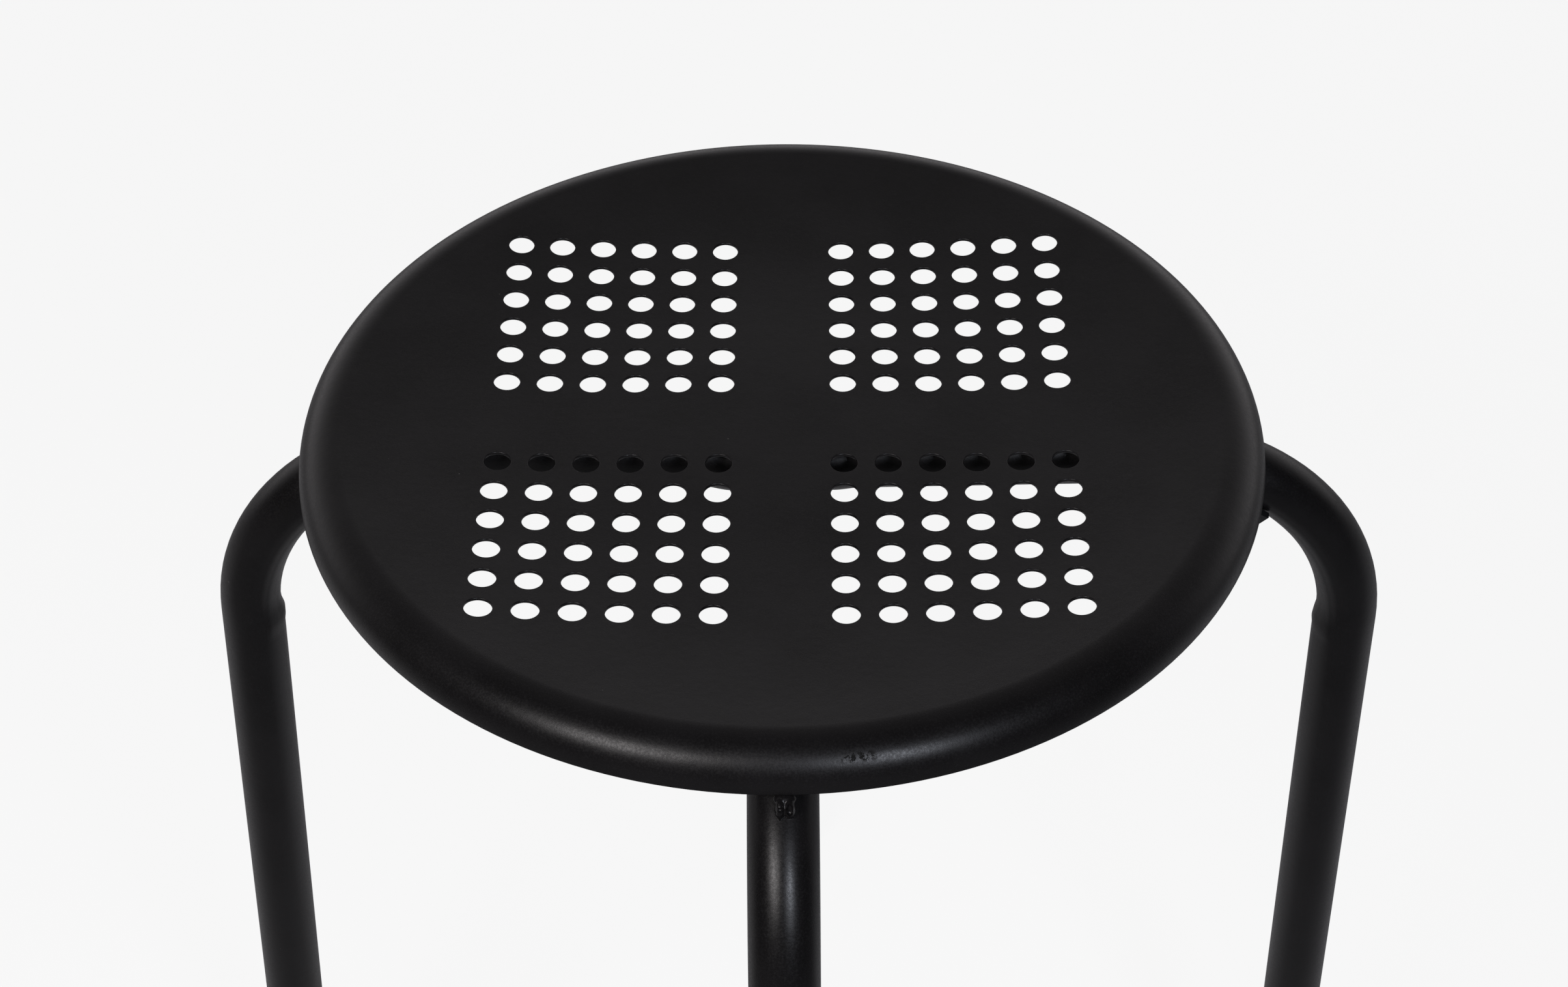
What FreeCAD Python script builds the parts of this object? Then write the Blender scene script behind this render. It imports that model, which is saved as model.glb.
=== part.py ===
import FreeCAD, Part

import math
import os

import Sketcher

# Stacking stool: a pressed and perforated round steel seat on two bent tubes that cross under it.
# Millimetres, +Z up, +X to the right of the photograph and -Y to its front.
# The origin is on the floor, under the middle of the seat.

V = FreeCAD.Vector
START, END, CENTRE = 1, 2, 3
ORIGIN, X_AXIS, Y_AXIS = -1, -1, -2

os.makedirs("parts", exist_ok=True)
doc = FreeCAD.newDocument("stacking_stool")
sheet = doc.addObject("Spreadsheet::Sheet", "Sizes")

SIZES = (
    # Seat pan
    ("seat_height", 450.0),
    ("seat_diameter", 320.0),
    ("sheet_thickness", 1.2),
    ("dish_depth", 2.2),
    ("dish_blend_radius", 5.7),
    ("rim_roll_radius", 13.0),
    ("rim_depth", 14.4),
    # Perforation: four square fields of round holes
    ("hole_diameter", 9.0),
    ("hole_pitch", 14.65),
    ("hole_first", 20.8),
    ("holes_per_side", 6),
    # Leg tubes: a run under the seat, two bends and two legs each
    ("tube_diameter", 22.0),
    ("tube_wall", 1.2),
    ("bend_radius", 78.0),
    ("run_depth", 22.0),
    ("front_reach", 194.7),
    ("front_splay", 2.0),
    ("left_reach", 189.4),
    ("left_splay", 3.0),
    ("right_reach", 199.9),
    ("right_splay", 1.1),
    # Pressed crossing of the two tubes
    ("saddle_depth", 3.0),
    ("saddle_half", 18.0),
    ("saddle_run_out", 8.0),
    ("flat_height", 5.0),
    ("flat_half", 14.0),
    ("flat_run_out", 18.0),
    # Weld beads
    ("weld_bite", 0.7),
    ("seat_weld_place", 112.0),
    ("seat_weld_length", 20.0),
    ("rim_weld_width", 8.4),
    ("rim_weld_out", 0.6),
    ("rim_weld_lap", 2.0),
    ("crossing_weld_length", 14.0),
    ("crossing_weld_size", 4.0),
    # Stacking pads clipped round the bends
    ("pad_side", 2.4),
    ("pad_bottom", 2.6),
    ("pad_wrap", 3.0),
    ("pad_chamfer", 6.5),
    ("pad_clearance", 0.3),
    ("pad_place_angle", 25.75),
    ("pad_length", 14.0),
    # Foot caps
    ("foot_wall", 2.0),
    ("foot_height", 24.0),
    ("foot_sole", 4.0),
    ("foot_edge_chamfer", 1.2),
    ("foot_clearance", 0.1),
)
for row, (alias, value) in enumerate(SIZES, start=1):
    sheet.set(f"A{row}", alias)
    sheet.set(f"B{row}", str(value))
    sheet.setAlias(f"B{row}", alias)
doc.recompute()


def size(alias):
    """Value of one size in the sheet."""
    return float(sheet.get(alias))


def cells(text):
    """Expression text in which every $name stands for that size in the sheet."""
    return text.replace("$", "Sizes.")


def number(text):
    """Value of an expression, for the first draft of a sketch."""
    return float(sheet.evalExpression(cells(text)))


def plane_of(body, role):
    """One of the body's own origin planes or axes."""
    return next(item for item in body.Origin.OriginFeatures if item.Role == role)


def new_sketch(body, name, role, offset="0"):
    """Sketch on an origin plane of its body, shifted along the plane's normal."""
    sketch = body.newObject("Sketcher::SketchObject", f"{body.Name}_{name}")
    sketch.AttachmentSupport = [(plane_of(body, role), "")]
    sketch.MapMode = "FlatFace"
    sketch.AttachmentOffset = FreeCAD.Placement(V(0, 0, number(offset)), FreeCAD.Rotation())
    if offset != "0":
        sketch.setExpression("AttachmentOffset.Base.z", cells(offset))
    return sketch


def tilted_sketch(body, name, role, place, axis, angle):
    """Sketch on an origin plane of its body, moved in that plane's axes and tilted about one of them."""
    sketch = new_sketch(body, name, role)
    sketch.AttachmentOffset = FreeCAD.Placement(V(*map(number, place)), FreeCAD.Rotation(axis, number(angle)))
    for letter, text in zip("xyz", place):
        sketch.setExpression(f"AttachmentOffset.Base.{letter}", cells(text))
    sketch.setExpression("AttachmentOffset.Rotation.Angle", cells(angle))
    doc.recompute()
    return sketch


def drive(sketch, kind, where, text):
    """Dimension of a sketch, bound to an expression of the sheet's sizes."""
    index = sketch.addConstraint(Sketcher.Constraint(kind, *where, number(text)))
    sketch.setExpression(f"Constraints[{index}]", cells(text))


def drive_point(sketch, geometry, point, x, y):
    """Coordinates of a sketch point. A text that starts with a minus lies on the negative side."""
    for kind, axis, text in (("DistanceX", Y_AXIS, x), ("DistanceY", X_AXIS, y)):
        if text == "0":
            sketch.addConstraint(Sketcher.Constraint("PointOnObject", geometry, point, axis))
        elif text.startswith("-"):
            drive(sketch, kind, (geometry, point, ORIGIN, START), text[1:])
        else:
            drive(sketch, kind, (ORIGIN, START, geometry, point), text)


def join(sketch, kind, *where):
    """Constraint without a dimension."""
    sketch.addConstraint(Sketcher.Constraint(kind, *where))


def draw_line(sketch, points, closed):
    """Chain of straight lines through points, each given by two expressions."""
    places = [[number(text[1:]) * -1 if text.startswith("-") else number(text) for text in point] for point in points]
    count = len(points) if closed else len(points) - 1
    for index in range(count):
        first, last = places[index], places[(index + 1) % len(places)]
        sketch.addGeometry(Part.LineSegment(V(*first, 0), V(*last, 0)), False)
    for index in range(count - (0 if closed else 1)):
        join(sketch, "Coincident", index, END, (index + 1) % count, START)
    for index, (x, y) in enumerate(points[:count]):
        drive_point(sketch, index, START, x, y)
    if not closed:
        drive_point(sketch, count - 1, END, *points[-1])


def check(feature, what):
    """Stop where a feature failed or has no solid."""
    doc.recompute()
    if {"Invalid", "Error"} & set(feature.State) or feature.Shape.isNull() or not feature.Shape.isValid():
        raise RuntimeError(f"{what} failed: {feature.State}")


# Heights and places that several pieces share, as expressions of the sizes.
RUN_HEIGHT = "($seat_height - $run_depth)"
RIM_EDGE_HEIGHT = "($seat_height - $rim_depth)"
TUBE_RADIUS = "($tube_diameter / 2)"


class Leg:
    """Centre line of one half of a tube: it rises outward from the crossing, turns 90 degrees and comes down."""

    def __init__(self, name, reach, splay, turn):
        self.name, self.reach, self.splay, self.turn = name, reach, splay, turn
        self.bend_x = f"({reach} - $bend_radius * cos({splay}))"
        self.bend_z = f"({RUN_HEIGHT} + {self.bend_x} * tan({splay}) - $bend_radius / cos({splay}))"
        self.floor_x = f"({reach} + ({self.bend_z} + $bend_radius * sin({splay})) * tan({splay}))"


RIGHT = Leg("right", "$right_reach", "$right_splay", 0)
REAR = Leg("rear", "$front_reach", "$front_splay", 90)
LEFT = Leg("left", "$left_reach", "$left_splay", 180)
FRONT = Leg("front", "$front_reach", "$front_splay", 270)
LEGS = (FRONT, REAR, LEFT, RIGHT)


# What repeats or runs all round is drawn with few faces: sides of a hole, and chords of the rim's curves.
HOLE_SIDES = 12
BLEND_CHORDS = 2
ROLL_CHORDS = 7


# Seat pan

def seat_pan():
    """Round pan: a flat perforated field, a rolled rim and a straight skirt, of one sheet thickness."""
    body = doc.addObject("PartDesign::Body", "seat_pan")
    roll, blend = "$rim_roll_radius", "$dish_blend_radius"
    flat = "($seat_height - $dish_depth)"
    rise = f"({flat} + {blend} - $seat_height + {roll})"
    turn = f"acos({rise} / ({roll} + {blend}))"
    roll_x = f"($seat_diameter / 2 - {roll})"
    blend_x = f"({roll_x} - sqrt(({roll} + {blend})^2 - {rise}^2))"
    points = [("0", flat)]
    for step in range(BLEND_CHORDS):
        angle = f"({turn} * {step} / {BLEND_CHORDS})"
        points.append((f"({blend_x} + {blend} * sin({angle}))", f"({flat} + {blend} * (1 - cos({angle})))"))
    for step in range(ROLL_CHORDS + 1):
        angle = f"({turn} - ({turn} + 90 deg) * {step} / {ROLL_CHORDS})"
        points.append((f"({roll_x} - {roll} * sin({angle}))", f"($seat_height - {roll} * (1 - cos({angle})))"))
    points += [("($seat_diameter / 2)", RIM_EDGE_HEIGHT), ("0", RIM_EDGE_HEIGHT)]
    profile = new_sketch(body, "profile", "XZ_Plane")
    draw_line(profile, points, True)

    blank = body.newObject("PartDesign::Revolution", "seat_blank")
    blank.Profile = (profile, [""])
    blank.ReferenceAxis = (plane_of(body, "Z_Axis"), [""])
    blank.Angle = 360
    check(blank, "seat blank")

    underside = min(range(len(blank.Shape.Faces)), key=lambda i: blank.Shape.Faces[i].CenterOfMass.z)
    shell = body.newObject("PartDesign::Thickness", "seat_sheet")
    shell.Base = (blank, [f"Face{underside + 1}"])
    shell.Reversed = True
    shell.Join = "Intersection"
    shell.setExpression("Value", cells("$sheet_thickness"))
    check(shell, "seat sheet")

    hole = new_sketch(body, "hole", "XY_Plane", "$seat_height")
    corner = f"($hole_diameter / 2 * sqrt(pi / {HOLE_SIDES} / sin({180 / HOLE_SIDES}) / cos({180 / HOLE_SIDES})))"
    turns = [360 * (step + 0.5) / HOLE_SIDES for step in range(HOLE_SIDES)]
    draw_line(hole, [(f"($hole_first + {corner} * cos({turn}))", f"($hole_first + {corner} * sin({turn}))")
                     for turn in turns], True)
    punch = body.newObject("PartDesign::Pocket", "seat_punch")
    punch.Profile = (hole, [""])
    punch.setExpression("Length", cells("$rim_depth"))
    check(punch, "first hole")
    if punch.Shape.Volume >= shell.Shape.Volume:
        raise RuntimeError("the first hole cuts nothing")

    field = body.newObject("PartDesign::MultiTransform", "seat_perforation")
    field.Originals = [punch]
    steps = []
    for axis_role in ("X_Axis", "Y_Axis"):
        row_of_holes = body.newObject("PartDesign::LinearPattern", f"seat_row_{axis_role[0].lower()}")
        row_of_holes.Direction = (plane_of(body, axis_role), [""])
        row_of_holes.setExpression("Length", cells("$hole_pitch * ($holes_per_side - 1)"))
        row_of_holes.setExpression("Occurrences", cells("$holes_per_side"))
        steps.append(row_of_holes)
    quarters = body.newObject("PartDesign::PolarPattern", "seat_quarters")
    quarters.Axis = (plane_of(body, "Z_Axis"), [""])
    quarters.Angle = 360
    quarters.Occurrences = 4
    steps.append(quarters)
    field.Transformations = steps
    body.Tip = field
    check(field, "perforation")
    return body


# Leg tubes

def draw_ring(sketch, x, y):
    """Round section of the tube: outside and bore about one centre."""
    centre = V(number(x.lstrip("-")) * (-1 if x.startswith("-") else 1), number(y), 0)
    for index, diameter in enumerate(("$tube_diameter", "$tube_diameter - 2 * $tube_wall")):
        sketch.addGeometry(Part.Circle(centre, V(0, 0, 1), number(diameter) / 2), False)
        drive(sketch, "Diameter", (index,), diameter)
    drive_point(sketch, 0, CENTRE, x, y)
    join(sketch, "Coincident", 1, CENTRE, 0, CENTRE)


def round_leg(body, leg, sign, press_end):
    """Run, bend and leg of one half, on the side named by its sign. The leg's end is cut level."""
    side = -1 if sign else 1
    upright = tilted_sketch(body, f"{leg.name}_ring", "YZ_Plane", ("0", leg.bend_z, sign + leg.bend_x),
                            V(-side, 0, 0), leg.splay)
    draw_ring(upright, "0", "$bend_radius")
    run = body.newObject("PartDesign::Pad", f"{body.Name}_{leg.name}_run")
    run.Profile = (upright, [""])
    run.Reversed = side > 0
    run.setExpression("Length", cells(f"({leg.bend_x} - {press_end}) / cos({leg.splay})"
                                      f" - $bend_radius * tan({leg.splay})"))
    check(run, f"{leg.name} run")

    bend = body.newObject("PartDesign::Revolution", f"{body.Name}_{leg.name}_bend")
    bend.Profile = (upright, [""])
    bend.ReferenceAxis = (upright, ["H_Axis"])
    bend.Angle = 90
    bend.Reversed = side < 0
    check(bend, f"{leg.name} bend")

    level = tilted_sketch(body, f"{leg.name}_end_ring", "XY_Plane", (sign + leg.bend_x, "0", leg.bend_z),
                          V(0, -side, 0), leg.splay)
    draw_ring(level, f"{sign}$bend_radius", "0")
    drop = body.newObject("PartDesign::Pad", f"{body.Name}_{leg.name}_drop")
    drop.Profile = (level, [""])
    drop.Reversed = True
    drop.setExpression("Length", cells(f"($tube_diameter + {leg.bend_z} - $foot_sole) / cos({leg.splay})"))
    check(drop, f"{leg.name} drop")

    floor = new_sketch(body, f"{leg.name}_level", "XY_Plane", "$foot_sole")
    floor.addGeometry(Part.Circle(V(side * number(leg.floor_x), 0, 0), V(0, 0, 1), size("tube_diameter")), False)
    drive(floor, "Radius", (0,), "$tube_diameter")
    drive_point(floor, 0, CENTRE, sign + leg.floor_x, "0")
    cut = body.newObject("PartDesign::Pocket", f"{body.Name}_{leg.name}_level_cut")
    cut.Profile = (floor, [""])
    cut.setExpression("Length", cells("2 * $tube_diameter"))
    check(cut, f"{leg.name} level cut")
    if cut.Shape.Volume >= drop.Shape.Volume:
        raise RuntimeError(f"the level cut of the {leg.name} leg removes nothing")


def section_arcs(body, name, radius, half_straight, leg, sign, press_end):
    """Round section in four arcs. The upper and lower ones are as long as the flats they are pressed into."""
    place = ("0", f"({RUN_HEIGHT} + {press_end} * tan({leg.splay}))", sign + press_end)
    sketch = tilted_sketch(body, name, "YZ_Plane", place, V(1 if sign else -1, 0, 0), leg.splay)
    r = number(radius)
    share = number(half_straight) / r
    corners = (math.pi / 2 - share, math.pi / 2 + share, 1.5 * math.pi - share, 1.5 * math.pi + share)
    right, top, left, bottom = range(4)
    for first, last in zip((corners[3] - 2 * math.pi,) + corners, corners):
        sketch.addGeometry(Part.ArcOfCircle(Part.Circle(V(0, 0, 0), V(0, 0, 1), r), first, last), False)
    for index in range(4):
        join(sketch, "Coincident", index, END, (index + 1) % 4, START)
    join(sketch, "Coincident", top, CENTRE, right, CENTRE)
    join(sketch, "Coincident", left, CENTRE, right, CENTRE)
    join(sketch, "Equal", bottom, right)
    drive(sketch, "Radius", (right,), radius)
    join(sketch, "Coincident", right, CENTRE, ORIGIN, START)
    corner_x = f"({radius} * sin({half_straight} / {radius} * 1 rad))"
    for arc, side in ((right, 1), (top, -1), (left, -1), (bottom, 1)):
        ends = (ORIGIN, START, arc, END) if side > 0 else (arc, END, ORIGIN, START)
        drive(sketch, "DistanceX", ends, corner_x)
    return sketch


def section_slot(body, name, radius, half_straight, offset, height):
    """Pressed section: two flats joined by half circles."""
    sketch = new_sketch(body, name, "YZ_Plane", offset)
    r, half, centre = number(radius), number(half_straight), number(height)
    right, top, left, bottom = range(4)
    sketch.addGeometry([
        Part.ArcOfCircle(Part.Circle(V(half, centre, 0), V(0, 0, 1), r), -math.pi / 2, math.pi / 2),
        Part.LineSegment(V(half, centre + r, 0), V(-half, centre + r, 0)),
        Part.ArcOfCircle(Part.Circle(V(-half, centre, 0), V(0, 0, 1), r), math.pi / 2, 1.5 * math.pi),
        Part.LineSegment(V(-half, centre - r, 0), V(half, centre - r, 0)),
    ], False)
    for index in range(4):
        join(sketch, "Tangent", index, END, (index + 1) % 4, START)
    join(sketch, "Horizontal", top)
    join(sketch, "Horizontal", bottom)
    drive(sketch, "Radius", (right,), radius)
    drive_point(sketch, right, CENTRE, half_straight, height)
    drive(sketch, "DistanceX", (left, CENTRE, ORIGIN, START), half_straight)
    return sketch


def leg_tube(name, legs, press_half, press_end, press_radius, press_height, turn):
    """One tube with a bend on each side and a pressed middle, drawn along X and then turned about Z."""
    body = doc.addObject("PartDesign::Body", name)
    for leg, sign in zip(legs, ("", "-")):
        round_leg(body, leg, sign, press_end)

    half_straight = f"(({TUBE_RADIUS} - {press_radius}) * pi / 2)"
    for kind, what, inset in (("AdditiveLoft", "pressing", "0"), ("SubtractiveLoft", "bore", "$tube_wall")):
        round_radius, flat_radius = f"({TUBE_RADIUS} - {inset})", f"({press_radius} - {inset})"
        sections = [
            section_arcs(body, f"{what}_start", round_radius, half_straight, legs[0], "", press_end),
            section_slot(body, f"{what}_near", flat_radius, half_straight, press_half, press_height),
            section_slot(body, f"{what}_far", flat_radius, half_straight, f"-{press_half}", press_height),
            section_arcs(body, f"{what}_end", round_radius, half_straight, legs[1], "-", press_end),
        ]
        loft = body.newObject(f"PartDesign::{kind}", f"{name}_{what}")
        loft.Profile = (sections[0], [""])
        loft.Sections = [(section, [""]) for section in sections[1:]]
        loft.Ruled = True
        check(loft, f"{name} {what}")
    body.Placement = FreeCAD.Placement(V(0, 0, 0), FreeCAD.Rotation(V(0, 0, 1), turn))
    return body


# Stacking pads

def stacking_pad(leg):
    """Clip round the inner side of a bend. It keeps the rim of the stool below off the tube."""
    body = doc.addObject("PartDesign::Body", f"stacking_pad_{leg.name}")
    section = new_sketch(body, "section", "YZ_Plane")
    inner = f"({TUBE_RADIUS} + $pad_clearance)"
    side = f"({TUBE_RADIUS} + $pad_side)"
    top = "($bend_radius + $pad_wrap)"
    bottom = f"($bend_radius - {TUBE_RADIUS} - $pad_bottom)"
    corners = (
        (side, top), (side, f"({bottom} + $pad_chamfer)"), (f"({side} - $pad_chamfer)", bottom),
        (f"-({side} - $pad_chamfer)", bottom), (f"-{side}", f"({bottom} + $pad_chamfer)"), (f"-{side}", top),
    )
    wrap = math.asin(number(f"$pad_wrap / {inner}"))
    reach = number(inner) * math.cos(wrap)
    points = [(reach, number(top))] + [(number(x), number(y)) for x, y in corners] + [(-reach, number(top))]
    for first, last in zip(points, points[1:]):
        section.addGeometry(Part.LineSegment(V(*first, 0), V(*last, 0)), False)
    circle = Part.Circle(V(0, size("bend_radius"), 0), V(0, 0, 1), number(inner))
    section.addGeometry(Part.ArcOfCircle(circle, math.pi - wrap, 2 * math.pi + wrap), False)
    arc = len(points) - 1
    for index in range(arc - 1):
        join(section, "Coincident", index, END, index + 1, START)
    join(section, "Coincident", arc - 1, END, arc, START)
    join(section, "Coincident", arc, END, 0, START)
    for index, (x, y) in enumerate(corners):
        drive_point(section, index, END, x, y)
    drive_point(section, arc, CENTRE, "0", "$bend_radius")
    drive(section, "Radius", (arc,), inner)
    for end in (START, END):
        drive(section, "DistanceY", (ORIGIN, START, arc, end), top)

    clip = body.newObject("PartDesign::Pad", f"pad_clip_{leg.name}")
    clip.Profile = (section, [""])
    clip.SideType = "Symmetric"
    clip.setExpression("Length", cells("$pad_length"))
    check(clip, f"{leg.name} pad")
    at_bend = FreeCAD.Placement(V(number(leg.bend_x), 0, number(leg.bend_z)),
                                FreeCAD.Rotation(V(0, 1, 0), size("pad_place_angle")))
    body.Placement = about_axis(leg).multiply(at_bend)
    return body


def about_axis(leg):
    """Turn about the stool's axis that brings the +X direction to this leg."""
    return FreeCAD.Placement(V(0, 0, 0), FreeCAD.Rotation(V(0, 0, 1), leg.turn))


# Foot caps

def foot_cap(leg):
    """Cup pushed over the end of a leg and leaning with it, with a closed sole and a level bottom."""
    body = doc.addObject("PartDesign::Body", f"foot_cap_{leg.name}")
    bore = "($tube_diameter + 2 * $foot_clearance)"
    outside = f"({bore} + 2 * $foot_wall)"
    for kind, what, floor, diameter, lean in (("Pad", "cup", "0", outside, "-tan"),
                                              ("Pocket", "socket", "$foot_sole", bore, "tan")):
        middle = f"({leg.floor_x} - {floor} * tan({leg.splay}))"
        circle = new_sketch(body, what, "XY_Plane", floor)
        circle.addGeometry(Part.Circle(V(number(middle), 0, 0), V(0, 0, 1), number(diameter) / 2), False)
        drive(circle, "Diameter", (0,), diameter)
        drive_point(circle, 0, CENTRE, middle, "0")
        feature = body.newObject(f"PartDesign::{kind}", f"foot_{what}_{leg.name}")
        feature.Profile = (circle, [""])
        feature.UseCustomVector = True
        feature.AlongSketchNormal = True
        feature.Direction = V(-math.tan(math.radians(number(leg.splay))), 0, 1)
        feature.setExpression("Direction.x", cells(f"-tan({leg.splay})"))
        feature.setExpression("Length", cells(f"$foot_height - {floor}"))
        check(feature, f"{leg.name} foot {what}")
    cup = body.Tip
    low_edge = min(range(len(cup.Shape.Edges)), key=lambda i: cup.Shape.Edges[i].BoundBox.ZMax)
    edge = body.newObject("PartDesign::Chamfer", f"foot_edge_{leg.name}")
    edge.Base = (cup, [f"Edge{low_edge + 1}"])
    edge.setExpression("Size", cells("$foot_edge_chamfer"))
    check(edge, f"{leg.name} foot edge")
    body.Placement = about_axis(leg)
    return body


# Welds

def lying_bead(name, radius, length, middle, turn):
    """Round rod of weld metal, level, with its length turned from the X axis."""
    bead = doc.addObject("Part::Cylinder", name)
    bead.setExpression("Radius", cells(radius))
    bead.setExpression("Height", cells(length))
    level = FreeCAD.Placement(V(0, 0, 0), FreeCAD.Rotation(V(0, 1, 0), 90))
    centred = FreeCAD.Placement(V(0, 0, -number(length) / 2), FreeCAD.Rotation())
    turned = FreeCAD.Placement(middle, FreeCAD.Rotation(V(0, 0, 1), turn))
    bead.Placement = turned.multiply(level).multiply(centred)
    return bead


def welds(name, beads, pieces):
    """Group of separate beads, trimmed by the pieces that they join."""
    blank = doc.addObject("Part::MultiFuse", f"{name}_beads")
    blank.Shapes = beads
    for step, piece in enumerate(pieces, start=1):
        cut = doc.addObject("Part::Cut", name if step == len(pieces) else f"{name}_trim_{step}")
        cut.Base, cut.Tool = blank, piece
        check(cut, name)
        blank = cut
    return blank


def rim_bead(leg):
    """Bead under the skirt's edge, where the bend passes below it."""
    place = "($seat_diameter / 2 + $rim_weld_out)"
    low = f"({leg.bend_z} + sqrt(($bend_radius + {TUBE_RADIUS})^2 - ({place} - {leg.bend_x})^2) - $weld_bite)"
    high = f"({RIM_EDGE_HEIGHT} + $rim_weld_lap)"
    middle = about_axis(leg).multVec(V(number(place), 0, number(f"({high} + {low}) / 2")))
    return lying_bead(f"rim_bead_{leg.name}", f"({high} - {low}) / 2", "$rim_weld_width", middle, leg.turn + 90)


def seat_bead(leg):
    """Bead along the top of a run, up to the sheet of the seat."""
    tube_top = f"({RUN_HEIGHT} + $seat_weld_place * tan({leg.splay}) + {TUBE_RADIUS} / cos({leg.splay}))"
    sheet_under = "($seat_height - $dish_depth - $sheet_thickness)"
    middle = about_axis(leg).multVec(V(size("seat_weld_place"), 0, number(f"({tube_top} + {sheet_under}) / 2")))
    return lying_bead(f"seat_bead_{leg.name}", f"({sheet_under} - {tube_top}) / 2 + $weld_bite",
                      "$seat_weld_length", middle, leg.turn)


def crossing_bead(side, sign):
    """Bead along one edge of the pressed tube, on the saddle."""
    place = number(f"{FLAT_HALF_WIDTH} + $crossing_weld_size / 4")
    height = number(f"{SADDLE_TOP} + $crossing_weld_size / 2 - $weld_bite")
    return lying_bead(f"crossing_bead_{side}", "$crossing_weld_size / 2", "$crossing_weld_length",
                      V(sign * place, 0, height), 90)


SADDLE_RADIUS = f"(({TUBE_RADIUS} * 2 - $saddle_depth) / 2)"
SADDLE_TOP = f"({RUN_HEIGHT} + {TUBE_RADIUS} - $saddle_depth)"
FLAT_HALF_WIDTH = f"($flat_height / 2 + ({TUBE_RADIUS} - $flat_height / 2) * pi / 2)"

SEAT = seat_pan()
side_tube = leg_tube("leg_tube_side", (RIGHT, LEFT), "$saddle_half", "($saddle_half + $saddle_run_out)",
                     SADDLE_RADIUS, f"({SADDLE_TOP} - {SADDLE_RADIUS})", 0)
front_tube = leg_tube("leg_tube_front_rear", (REAR, FRONT), "$flat_half", "($flat_half + $flat_run_out)",
                      "($flat_height / 2)", f"({SADDLE_TOP} + $flat_height / 2)", 90)

pieces = [SEAT, side_tube, front_tube]
pieces.append(welds("seat_welds", [seat_bead(leg) for leg in LEGS], (side_tube, front_tube, SEAT)))
pieces.append(welds("rim_welds", [rim_bead(leg) for leg in (FRONT, REAR)], (front_tube, SEAT)))
pieces.append(welds("crossing_welds", [crossing_bead("left", -1), crossing_bead("right", 1)],
                    (side_tube, front_tube)))
pieces += [stacking_pad(leg) for leg in LEGS]
pieces += [foot_cap(leg) for leg in LEGS]

doc.recompute()
for item in doc.Objects:
    if {"Invalid", "Error"} & set(item.State):
        raise RuntimeError(f"{item.Name} is {item.State}")
for piece in pieces:
    piece.Label = piece.Name
    if piece.Shape.isNull() or not piece.Shape.isValid() or piece.Shape.Volume <= 0:
        raise RuntimeError(f"{piece.Name} has no valid solid")
    piece.Shape.exportStep(f"parts/{piece.Name}.step")
    print(piece.Name, len(piece.Shape.Solids), "solid", round(piece.Shape.Volume / 1000, 2), "cm3")
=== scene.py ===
import math

import bmesh
import bpy
from mathutils import Matrix, Vector


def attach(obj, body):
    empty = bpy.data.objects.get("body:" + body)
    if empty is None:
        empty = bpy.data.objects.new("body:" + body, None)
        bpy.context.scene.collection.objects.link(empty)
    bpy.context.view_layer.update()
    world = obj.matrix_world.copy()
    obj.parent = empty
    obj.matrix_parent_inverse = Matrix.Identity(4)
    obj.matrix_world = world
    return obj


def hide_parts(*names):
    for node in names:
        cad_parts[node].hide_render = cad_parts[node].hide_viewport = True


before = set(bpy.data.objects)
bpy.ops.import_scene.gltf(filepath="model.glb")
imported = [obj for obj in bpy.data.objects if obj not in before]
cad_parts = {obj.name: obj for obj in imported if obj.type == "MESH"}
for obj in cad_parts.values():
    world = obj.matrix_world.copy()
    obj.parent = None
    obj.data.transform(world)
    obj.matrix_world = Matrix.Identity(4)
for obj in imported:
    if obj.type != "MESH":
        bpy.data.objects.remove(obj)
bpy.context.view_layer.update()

# All sizes are in metres and all angles in degrees, unless a line says otherwise.
# +Z is up, +X is right and -Y is the front of the stool.
MM = 0.001

# Seat pan
SEAT_HEIGHT = 450 * MM
SEAT_RADIUS = 162.1 * MM
SEAT_SEGMENTS = 192
SHEET = 1.2 * MM
SHEET_ROUNDING = 0.35 * MM
DISH_FLAT = 55 * MM
DISH_CURVE = 641.5 * MM
DISH_FLOOR = SEAT_HEIGHT - 6.8 * MM
DISH_END = 147.2 * MM
DISH_STEP = 6 * MM
DISH_RINGS = 23
ROLL_RADIUS = 13 * MM
ROLL_START = -8.2
ROLL_STEPS = 18
SKIRT_EDGE = SEAT_HEIGHT - 14.4 * MM

# Perforation
HOLE_RADIUS = 4.5 * MM
HOLE_PITCH = 14.65 * MM
HOLE_FIRST = 20.8 * MM
HOLES_PER_SIDE = 6
HOLE_SEGMENTS = 36
UPPER_LIP = 0.3 * MM
LOWER_LIP = 0.4 * MM
PUNCH_ABOVE = 2 * MM
PUNCH_BELOW = 1.5 * MM
PUNCH_CLEARANCE = 0.05 * MM

# Tubes
TUBE_RADIUS = 11 * MM
TUBE_SEGMENTS = 56
RUN_HEIGHT = SEAT_HEIGHT - 22 * MM
FOOT_SOLE = 4 * MM
BEND_RADIUS = 78 * MM
BEND_STEPS = 28
PRESS_STEPS = 6
FRONT_TUBE_SKEW = 0.43

# Level where the crossing tubes meet, in millimetres above the middle of the run
SADDLE_TOP = 8

# Distances in millimetres from the end of a bend to the rings drawn below it
BEND_END_GAPS = (16, 12, 9, 6, 3, 0)

# Flats on the inner side of a bend, from wide to narrow, and the ridge where the bend ends:
# half the width round the tube, first and last angle of the bend, and depth in millimetres
BEND_FLATS = ((80, 12, 84, 0.2), (60, 16, 86, 0.25), (42, 20, 87, 0.25), (26, 24, 88, 0.2))
BEND_RIDGE = (55, 89, 93.5, 0.35)

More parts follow.
